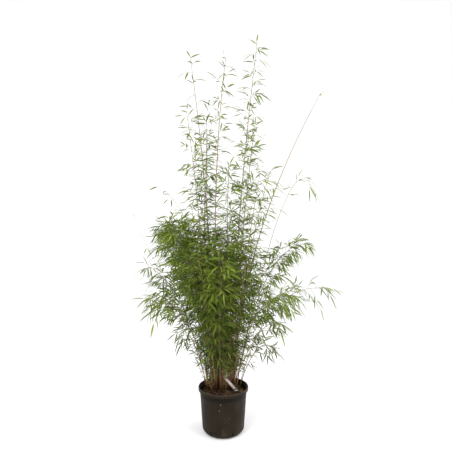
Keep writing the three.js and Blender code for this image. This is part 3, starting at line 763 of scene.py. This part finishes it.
# Low shoots and leafless old canes between the culms, which the solids leave out; millimetres
shootHabit = {"within": 0.92, "start": 2, "kneeOut": 0.2, "kneeRise": 0.75, "seedStep": 100, "labelSteps": 8}
shoots = {
    "young_shoots": {"count": 60, "seed": 31, "radius": 1.1, "height": (90, 300), "lean": (10, 80),
                     "leafyFrom": 0.4, "twigs": 11, "leaves": 4, "reach": 34, "leafSize": 0.68, **freer},
    "old_canes": {"count": 44, "seed": 47, "radius": 1.5, "height": (160, 420), "lean": (0, 60),
                  "leafyFrom": 0.6, "twigs": 0, "leaves": 0, "reach": 0},
}


def shootOf(habit, draw):
    share, turn = math.sqrt(draw(0, 1)) * shootHabit["within"], draw(0, 2 * math.pi)
    root = Vector((*rootAt(share, turn), 0))
    out = Vector((math.cos(turn), math.sin(turn), 0)) * draw(*habit["lean"]) * share
    top = clump["soilLevel"] + draw(*habit["height"])
    start = root + up * (clump["soilLevel"] + shootHabit["start"])
    knee = root + out * shootHabit["kneeOut"] + up * top * shootHabit["kneeRise"]
    tip = root + out + up * top
    return {**habit, "arch": (start * mm, knee * mm, tip * mm), "tip": tip}


# Shoots and twigs that would run through the label are left out
def isClearOfLabel(curve):
    steps = shootHabit["labelSteps"]
    points = [archPoint(*curve, i / steps) / mm for i in range(steps + 1)]
    gap = min(segmentGap(*pair, label["foot"], label["head"]) for pair in zip(points, points[1:]))
    return gap > label["width"] / 2 + clump["clearance"]


def addShoots(name, habit):
    draw = Drawer(habit["seed"])
    grown = [shootOf(habit, draw) for _ in range(habit["count"])]
    for i, shoot in enumerate(grown):
        twigs = twigsOf(shoot, habit["seed"] * shootHabit["seedStep"] + i)
        shoot["grown"] = [twig for twig in twigs if isClearOfLabel(twig["curve"])]
    addCulms(name, [shoot for shoot in grown if isClearOfLabel(shoot["arch"])], habit["seed"], [])


caneLook, leafLook = caneFinish(), leafFinish()
leafTemplate, twigShape = makeLeaf(), twigTemplate()
for i, culm in enumerate(culms):
    addCulms(culm["name"], [culm], i, [culm["name"]])
for name, habit in shoots.items():
    addShoots(name, habit)
print("culms, twigs and leaves made")

# Metres, as the solid has them; a slot is as wide as one step of the turning, and each white speck at the
# front has its place across, its height and its radius
pot = {
    "height": 0.230, "rim": 0.130, "bodyTop": 0.122, "foot": 0.109, "rounding": 0.028, "lip": 0.016,
    "lipEdge": 0.002, "wall": 0.0024, "lipWall": 0.005, "ease": 0.001, "steps": 72, "arcSteps": 9,
    "rings": (0.06, 0.11, 0.16), "beadDrop": 0.006, "bead": 0.0009, "beadHalf": 0.001, "sharp": 35,
    "slots": 6, "firstSlot": -64, "slotFrom": 0.014, "slotTop": 0.032,
    "specks": ((-0.0126, 0.181, 0.0022), (-0.0186, 0.15, 0.0016), (0.031, 0.11, 0.0011)),
}


def wallAt(height):
    rise = (height - pot["rounding"]) / (pot["height"] - pot["lip"] - pot["rounding"])
    return pot["foot"] + (pot["bodyTop"] - pot["foot"]) * rise


# Half section of the pot: up the outside, over the lip and down the inside
def potSection():
    rounding, wall, ease = pot["rounding"], pot["wall"], pot["ease"]
    arc = [i / pot["arcSteps"] * math.pi / 2 for i in range(pot["arcSteps"], -1, -1)]
    centre, inner = pot["foot"] - rounding, rounding - wall
    outer = [(centre + rounding * math.cos(turn), rounding * (1 - math.sin(turn))) for turn in arc]
    inside = [(centre + inner * math.cos(turn), rounding - inner * math.sin(turn)) for turn in reversed(arc)]
    edge, rim, top, lipFrom = pot["lipEdge"], pot["rim"], pot["height"], pot["height"] - pot["lip"]
    beadAt, half = lipFrom - pot["beadDrop"], pot["beadHalf"]
    beadOut = wallAt(beadAt) + pot["bead"]
    body = [(wallAt(height), height) for height in (pot["slotTop"], *pot["rings"], beadAt - 2 * half)]
    body += [(beadOut, beadAt - half), (beadOut, beadAt + half)]
    body += [(wallAt(beadAt + 2 * half), beadAt + 2 * half)]
    lip = [(pot["bodyTop"], lipFrom), (rim - ease * 0.8, lipFrom), (rim, lipFrom + ease), (rim, top - edge),
           (rim - edge * 0.3, top - edge * 0.3), (rim - edge, top), (rim - pot["lipWall"] + ease, top),
           (rim - pot["lipWall"], top - ease), (rim - pot["lipWall"], lipFrom + wall),
           (pot["bodyTop"] - wall, lipFrom - wall)]
    slotTop = [(wallAt(pot["slotTop"]) - wall, pot["slotTop"])]
    return [(0, 0)] + outer + body + lip + slotTop + inside + [(0, wall)]


# Turns a half section round the Z axis into a closed body; the first step is centred on a direction
def turned(bm, section, steps, centredOn=0):
    first = math.radians(centredOn) - math.pi / steps
    across, deep = math.cos(first), math.sin(first)
    verts = [bm.verts.new((radius * across, radius * deep, height)) for radius, height in section]
    edges = [bm.edges.new(pair) for pair in zip(verts, verts[1:])]
    bmesh.ops.spin(bm, geom=verts + edges, axis=(0, 0, 1), cent=(0, 0, 0), angle=2 * math.pi,
                   steps=steps, use_merge=True, use_normal_flip=False, dvec=(0, 0, 0))
    bmesh.ops.remove_doubles(bm, verts=bm.verts, dist=0.00001)
    bmesh.ops.recalc_face_normals(bm, faces=bm.faces)


# Which drain slot a point lies at, or None
def slotOf(spot, slack=0.0):
    if not pot["slotFrom"] - slack < spot.z < pot["slotTop"] + slack:
        return None
    apart = 360 / pot["slots"]
    turn = (math.degrees(math.atan2(spot.y, spot.x)) - pot["firstSlot"]) % 360
    number = round(turn / apart)
    isHere = abs(turn - number * apart) < 180 / pot["steps"] + 0.01  # half a step, and a little for rounding
    return number % pot["slots"] if isHere else None


def middleOf(edge):
    return (edge.verts[0].co + edge.verts[1].co) / 2


# Opens the drain slots at the rounded edge with the same window in both walls, bridged
def cutSlots(bm):
    windows = [face for face in bm.faces if slotOf(face.calc_center_median()) is not None]
    bmesh.ops.delete(bm, geom=windows, context="FACES")
    slack = pot["wall"]
    for number in range(pot["slots"]):
        rims = [edge for edge in bm.edges if edge.is_boundary and slotOf(middleOf(edge), slack) == number]
        bmesh.ops.bridge_loops(bm, edges=rims)
    bmesh.ops.recalc_face_normals(bm, faces=bm.faces)


potColours = {
    "black": (0.012, 0.0082, 0.005), "brown": (0.0175, 0.0125, 0.008), "dust": (0.05, 0.04, 0.03),
    # Painted highlight: the lighter colour for the top edge of the lip
    # Painted shade: the near-black colour for the inside of the pot and the band under the lip
    # Painted sheen: the lighter colour for the pot's left and right sides
    "paintedLipHighlight": (0.075, 0.06, 0.045), "paintedSideSheen": (0.075, 0.064, 0.045), "inside": (0.004, 0.003, 0.0022),
    "speck": (0.45, 0.42, 0.38), "gloss": (1, 0.88, 0.76, 1),
}


def potFinish():
    finish = Finish("nurseryPot", 0.6, 0.13)
    finish.shader.inputs["Specular Tint"].default_value = potColours["gloss"]
    x, y, z = (finish.axis(name) for name in "XYZ")
    mottle = finish.noise(14, 5)
    fine = finish.noise(900, 2)
    rings = finish.noise(120, 2, (0.05, 0.05, 1))
    dust = finish.noise(30, 6, (1, 1, 0.5), 0.7)
    colour = finish.mix(mottle.between(0.35, 0.7), potColours["black"], potColours["brown"])
    low = 1 - z.between(0.01, 0.09)
    dusty = (dust.between(0.48, 0.75) * (0.25 + low * 0.5)).clamped()
    colour = finish.mix(dusty, colour, potColours["dust"])
    radius = (x ** 2.0 + y ** 2.0) ** 0.5
    # Painted highlight: a lighter line along the top edge of the lip, broken up by the rings pattern
    lipHighlightMask = z.between(0.2265, 0.2292) * radius.between(0.1258, 0.1268)
    colour = finish.mix(lipHighlightMask * (0.45 + rings * 0.5), colour, potColours["paintedLipHighlight"])
    # Painted shade: near black on the pot's inside above the soil and on the outside band just under the lip
    inside = z.over(0.19) * (1 - radius.between(0.1242, 0.1249))
    colour = finish.mix(inside * 0.85, colour, potColours["inside"])
    front = 1 - y.over(0.0)
    for speckX, speckZ, size in pot["specks"]:
        gap = ((x - speckX) ** 2.0 + (z - speckZ) ** 2.0) ** 0.5
        colour = finish.mix((1 - gap.between(size * 0.6, size)) * front, colour, potColours["speck"])
    # Painted sheen: the left and right sides, where they turn away from the front, are made lighter by an
    # amount that follows the dust pattern
    sides = abs(x).between(0.1, 0.124) * (1 - inside)
    colour = finish.mix(sides * dust.between(0.3, 0.6, 0.25, 0.6), colour, potColours["paintedSideSheen"])
    return finish.surface(colour, (fine * 0.4 + rings * 0.6, 0.0003, 0.35), dust * 0.3 + 0.42)


def addPot():
    bm = bmesh.new()
    turned(bm, potSection(), pot["steps"], pot["firstSlot"])
    cutSlots(bm)
    for edge in bm.edges:
        edge.smooth = edge.calc_face_angle(0.0) < math.radians(pot["sharp"])
    addPiece("pot_shell", bm, potFinish(), ["pot"])


addPot()
print("pot made")

# Metres; loose things lie within the reach, and clear of the label's foot, whose place and radius are given
soil = {"level": 0.200, "mound": 0.009, "flatter": 0.86, "seat": 0.00035, "steps": 96, "rings": 34,
        "arcSteps": 5, "relief": 0.0042, "grain": 38, "roughness": (0.8, 2.1, 4),
        "reach": 0.112, "labelFoot": (0.072, -0.016, 0.02)}
crumb = {"count": 520, "seed": 77, "size": (0.0012, 0.0042), "depth": (0.5, 0.9), "height": (0.4, 0.7),
         "lift": 0.2}


def soilHeight(x, y):
    edge = pot["bodyTop"] - pot["wall"] - soil["seat"]
    share = min(1.0, math.hypot(x, y) / edge)
    rough = noise.fractal(Vector((x, y, 0.3)) * soil["grain"], *soil["roughness"]) * soil["relief"]
    mound = soil["mound"] * (1 - share * share) * soil["flatter"]
    return soil["level"] + mound + rough * (1 - share ** 6)


def addSoil(finish):
    gap = pot["wall"] + soil["seat"]
    edge = wallAt(soil["level"]) - gap
    centre = pot["foot"] - pot["rounding"]
    inner = pot["rounding"] - gap
    arc = [i / soil["arcSteps"] * math.pi / 2 for i in range(soil["arcSteps"] + 1)]
    side = [(centre + inner * math.sin(turn), pot["rounding"] - inner * math.cos(turn)) for turn in arc]
    top = [(edge * (1 - i / soil["rings"]), soil["level"]) for i in range(soil["rings"])]
    bm = bmesh.new()
    turned(bm, [(0, gap)] + side + top + [(0, soil["level"])], soil["steps"])
    for vert in bm.verts:
        if vert.co.z > soil["level"] - 0.0001:
            vert.co.z = soilHeight(vert.co.x, vert.co.y)
    addPiece("soil_ball", bm, finish, ["soil"])


# An evenly drawn spot in a round patch
def spotIn(draw, radius, centreX=0, centreY=0):
    turn, share = draw(0, 2 * math.pi), math.sqrt(draw(0, 1))
    return centreX + radius * share * math.cos(turn), centreY + radius * share * math.sin(turn)


# A spot on the soil, clear of the label's foot
def soilSpot(draw, reach):
    footX, footY, clear = soil["labelFoot"]
    while True:
        x, y = spotIn(draw, reach)
        if math.hypot(x - footX, y - footY) > clear:
            return x, y


soilColours = {
    "grains": [(0.2, (0.008, 0.005, 0.003)), (0.45, (0.02, 0.011, 0.006)), (0.65, (0.05, 0.021, 0.01)),
               (0.85, (0.11, 0.052, 0.026))],
    # Darker soil for the bottom: partly moist soil with roots, partly painted shade
    "deep": (0.004, 0.003, 0.002),
}


def soilFinish():
    finish = Finish("pottingSoil", 0.95, 0.2)
    grain = finish.noise(180, 5, roughness=0.7)
    patches = finish.noise(22, 3)
    lumps = finish.cells(260)
    colour = finish.ramp(grain * 0.6 + patches * 0.5 - 0.05, soilColours["grains"])
    # Darker towards the bottom: moist soil with roots, and painted shade where the drain slots let light in
    deep = 1 - finish.axis("Z").between(0.12, 0.19)
    colour = finish.mix(deep * 0.9, colour, soilColours["deep"])
    return finish.surface(colour, (grain + lumps, 0.0016, 0.9))


def addCrumbs(finish):
    draw = Drawer(crumb["seed"])
    bm = bmesh.new()
    for _ in range(crumb["count"]):
        x, y = soilSpot(draw, soil["reach"])
        size = draw(*crumb["size"])
        turn = Matrix.Rotation(draw(0, 6.3), 4, Vector((draw(-1, 1), draw(-1, 1), 1)).normalized())
        place = Matrix.Translation((x, y, soilHeight(x, y) + size * crumb["lift"])) @ turn
        shape = Matrix.Diagonal((size, size * draw(*crumb["depth"]), size * draw(*crumb["height"]), 1))
        bmesh.ops.create_icosphere(bm, subdivisions=1, radius=1, matrix=place @ shape)
    addPiece("soil_crumbs", bm, finish, smooth=False)


soilLook = soilFinish()
addSoil(soilLook)
addCrumbs(soilLook)
print("soil made")

# Dry leaves and straws on the soil, and moss in patches of (x, y, radius); metres
litter = {"seed": 5, "reach": 0.1, "lift": 0.0014, "looseness": 0.003, "slimness": (0.1, 0.14),
          "leaves": 60, "leafLength": (0.02, 0.05), "leafTone": (0, 0.8),
          "straws": 60, "strawLength": (0.02, 0.06), "strawTone": (0.5, 1),
          "strawRadius": 0.0006, "strawSides": 4, "strawAt": (0, 0.35, 0.7, 1),
          "colours": [(0.0, (0.03, 0.015, 0.008)), (0.45, (0.08, 0.044, 0.022)), (0.8, (0.22, 0.14, 0.065)),
                      (1.0, (0.42, 0.3, 0.16))]}
moss = {"seed": 19, "tufts": 520, "size": (0.0008, 0.0019), "lift": 0.5, "sides": 5,
        "shape": ((0, 0.5), (0.6, 0.6), (1, 0.12)),
        "patches": ((0.078, 0.014, 0.026), (0.098, -0.012, 0.012), (0.06, 0.05, 0.018),
                    (-0.02, -0.088, 0.01)),
        "colours": [(0.3, (0.06, 0.045, 0.015)), (0.5, (0.17, 0.125, 0.045)), (0.75, (0.36, 0.28, 0.12))]}


def litterFinish():
    finish = Finish("dryLitter", 0.75, 0.25)
    tone = finish.attribute("leafTone")
    fibres = finish.noise(260, 3)
    colour = finish.ramp(tone * 0.8 + fibres * 0.3 - 0.05, litter["colours"])
    return finish.surface(colour, (fibres, 0.0004, 0.6))


# A leaf that lies on the soil and follows it
def flatLeaf(draw, x, y, length):
    turn = draw(0, 2 * math.pi)
    heading = Vector((math.cos(turn), math.sin(turn), 0))
    points = []
    for share in (0.0, 0.5, 1.0):
        spot = Vector((x, y, 0)) + heading * length * (share - 0.5)
        reach = math.hypot(spot.x, spot.y)
        if reach > soil["reach"]:
            spot *= soil["reach"] / reach
        height = soilHeight(spot.x, spot.y) + litter["lift"] + draw(0, litter["looseness"])
        points.append(Vector((spot.x, spot.y, height)))
    across = heading.cross(up) * -1
    return {"curve": tuple(points), "across": across, "width": length * draw(*litter["slimness"])}


def addLitter(finish):
    draw = Drawer(litter["seed"])
    bm = emptyLike(leafTemplate)
    for _ in range(litter["leaves"]):
        x, y = soilSpot(draw, litter["reach"])
        dryLeaf = flatLeaf(draw, x, y, draw(*litter["leafLength"]))
        addLeaf(bm, leafTemplate, dryLeaf, draw(*litter["leafTone"]))
    for _ in range(litter["straws"]):
        x, y = soilSpot(draw, litter["reach"])
        curve = flatLeaf(draw, x, y, draw(*litter["strawLength"]))["curve"]
        marks = (draw(*litter["strawTone"]),)
        stations = [(archPoint(*curve, share), archDirection(*curve, share), litter["strawRadius"], marks)
                    for share in litter["strawAt"]]
        addTube(bm, stations, litter["strawSides"], ("leafTone",))
    addPiece("leaf_litter", bm, finish)


def mossFinish():
    finish = Finish("moss", 0.85, 0.2)
    grain = finish.noise(300, 3)
    return finish.surface(finish.ramp(grain, moss["colours"]), (grain, 0.001, 0.8))


def addMoss(finish):
    draw = Drawer(moss["seed"])
    bm = bmesh.new()
    for i in range(moss["tufts"]):
        centreX, centreY, radius = moss["patches"][i % len(moss["patches"])]
        x, y = spotIn(draw, radius, centreX, centreY)
        size = draw(*moss["size"])
        if math.hypot(x, y) > soil["reach"]:
            continue
        foot = Vector((x, y, soilHeight(x, y) + size * moss["lift"]))
        tip = foot + Vector((draw(-1, 1), draw(-1, 1), 2)) * size
        stations = [(foot.lerp(tip, share), up, size * thick, ()) for share, thick in moss["shape"]]
        addTube(bm, stations, moss["sides"])
    addPiece("moss", bm, finish)


addLitter(litterFinish())
addMoss(mossFinish())
print("litter and moss made")

# One of these colours is painted shade, for the label's upper part under the leaves
labelColours = {"pink": (0.62, 0.53, 0.5), "pale": (0.74, 0.66, 0.63), "paintedLeafShade": (0.1, 0.07, 0.05),
                "foot": (0.82, 0.8, 0.78), "stain": (0.2, 0.14, 0.09)}


def labelFinish():
    finish = Finish("labelPlastic", 0.42, 0.5)
    height = finish.axis("Z")
    fade = finish.noise(40, 3)
    stain = finish.noise(90, 4, roughness=0.65)
    colour = finish.mix(fade.between(0.35, 0.65), labelColours["pink"], labelColours["pale"])
    # Painted shade: the label's upper part, under the leaves, is darkened
    colour = finish.mix(height.between(0.27, 0.284) * 0.9, colour, labelColours["paintedLeafShade"])
    colour = finish.mix(1 - height.between(0.211, 0.213), colour, labelColours["foot"])
    colour = finish.mix(stain.between(0.6, 0.8) * 0.5, colour, labelColours["stain"])
    return finish.surface(colour, (stain, 0.0002, 0.4), stain * 0.3 + 0.3)


# The label: a strip with rounded corners and one slot
def addLabel(finish):
    foot, head = Vector(label["foot"]) * mm, Vector(label["head"]) * mm
    along = (head - foot).normalized()
    across = along.cross(Vector((0, -1, 0))).normalized()
    normal = across.cross(along)
    half, length = label["width"] / 2 * mm, label["length"] * mm
    slotHalf = label["slotWidth"] / 2 * mm
    slotLow = (label["slotFromFoot"] - label["slotLength"] / 2) * mm
    slotHigh = slotLow + label["slotLength"] * mm
    columns = (-half, -slotHalf, slotHalf, half)
    rows = (0, slotLow, slotHigh, length / 2, length)
    bm = bmesh.new()
    bmesh.ops.create_grid(bm, x_segments=len(columns) - 1, y_segments=len(rows) - 1, size=1)
    for vert in bm.verts:
        column = round((vert.co.x + 1) / 2 * (len(columns) - 1))
        row = round((vert.co.y + 1) / 2 * (len(rows) - 1))
        vert.co = (columns[column], rows[row], 0)
    middles = [(face, face.calc_center_median()) for face in bm.faces]
    hole = [face for face, spot in middles if abs(spot.x) < slotHalf and slotLow < spot.y < slotHigh]
    bmesh.ops.delete(bm, geom=hole, context="FACES")
    corners = [vert for vert in bm.verts if len(vert.link_edges) == 2 and abs(abs(vert.co.x) - half) < 1e-6]
    bmesh.ops.bevel(bm, geom=corners, offset=label["corner"] * mm, segments=label["cornerSteps"],
                    profile=0.5, affect="VERTICES", material=-1)
    upper = extrudedVerts(bmesh.ops.extrude_face_region(bm, geom=bm.faces[:]))
    bmesh.ops.translate(bm, verts=upper, vec=(0, 0, label["thickness"] * mm))
    bmesh.ops.translate(bm, verts=bm.verts, vec=(0, 0, -label["thickness"] / 2 * mm))
    bmesh.ops.recalc_face_normals(bm, faces=bm.faces)
    pose = Matrix((across, along, normal)).transposed().to_4x4()
    pose.translation = foot
    bmesh.ops.transform(bm, matrix=pose, verts=bm.verts)
    addPiece("label_strip", bm, finish, ["plant_label"], smooth=False)


addLabel(labelFinish())
print("label made")

# Metres: a floor that bends up into a wall behind the object
studio = {"width": 14, "front": -5, "bend": 3.2, "wall": 4.6, "top": 7, "steps": 12,
          "colour": (0.94, 0.94, 0.94), "roughness": 0.9, "daylight": 0.95, "aim": (0, 0, 0.9)}
lamps = {
    "keyLight": {"place": (-1.8, -2.6, 3.4), "size": 2.6, "power": 90},
    "fillLight": {"place": (2.6, -1.8, 2.2), "size": 2.2, "power": 45},
    "edgeLight": {"place": (2.4, 0.9, 1.0), "size": 1.2, "power": 25},
}
# A level camera; its focal length and the picture's width are in pixels, its sensor in millimetres
view = {"place": (0.014, -2.095, 1.064), "sensor": 36, "focalPixels": 401, "imagePixels": 452}


def addStage():
    radius = studio["wall"] - studio["bend"]
    turns = [i / studio["steps"] * math.pi / 2 for i in range(studio["steps"] + 1)]
    points = [(studio["bend"] + radius * math.sin(turn), radius * (1 - math.cos(turn))) for turn in turns]
    points = [(studio["front"], 0), *points, (studio["wall"], studio["top"])]
    bm = bmesh.new()
    verts = [bm.verts.new((-studio["width"] / 2, y, z)) for y, z in points]
    edges = [bm.edges.new(pair) for pair in zip(verts, verts[1:])]
    moved = extrudedVerts(bmesh.ops.extrude_edge_only(bm, edges=edges))
    bmesh.ops.translate(bm, verts=moved, vec=(studio["width"], 0, 0))
    finish = Finish("paleFloor", studio["roughness"], 0.5)
    finish.shader.inputs["Base Color"].default_value = (*studio["colour"], 1)
    floor = asObject("paleFloor", bm, finish)


def addLight(name, lamp):
    data = bpy.data.lights.new(name, "AREA")
    data.shape = "DISK"
    data.size = lamp["size"]
    data.energy = lamp["power"]
    light = bpy.data.objects.new(name, data)
    light.location = lamp["place"]
    light.rotation_mode = "QUATERNION"
    light.rotation_quaternion = (Vector(studio["aim"]) - Vector(lamp["place"])).to_track_quat("-Z", "Y")
    scene.collection.objects.link(light)


def addDaylight():
    world = bpy.data.worlds.new("softRoom")
    world.use_nodes = True
    world.node_tree.nodes["Background"].inputs["Color"].default_value = (1, 1, 1, 1)
    world.node_tree.nodes["Background"].inputs["Strength"].default_value = studio["daylight"]
    scene.world = world
    scene.view_settings.view_transform = "Standard"


def addCamera():
    data = bpy.data.cameras.new("photoCamera")
    data.sensor_width = view["sensor"]
    data.lens = view["sensor"] * view["focalPixels"] / view["imagePixels"]
    camera = bpy.data.objects.new("photoCamera", data)
    camera.location = view["place"]
    camera.rotation_euler = (math.pi / 2, 0, 0)
    scene.collection.objects.link(camera)
    scene.camera = camera


addStage()
for name, lamp in lamps.items():
    addLight(name, lamp)
addDaylight()
addCamera()
print("stage, lights and camera made")
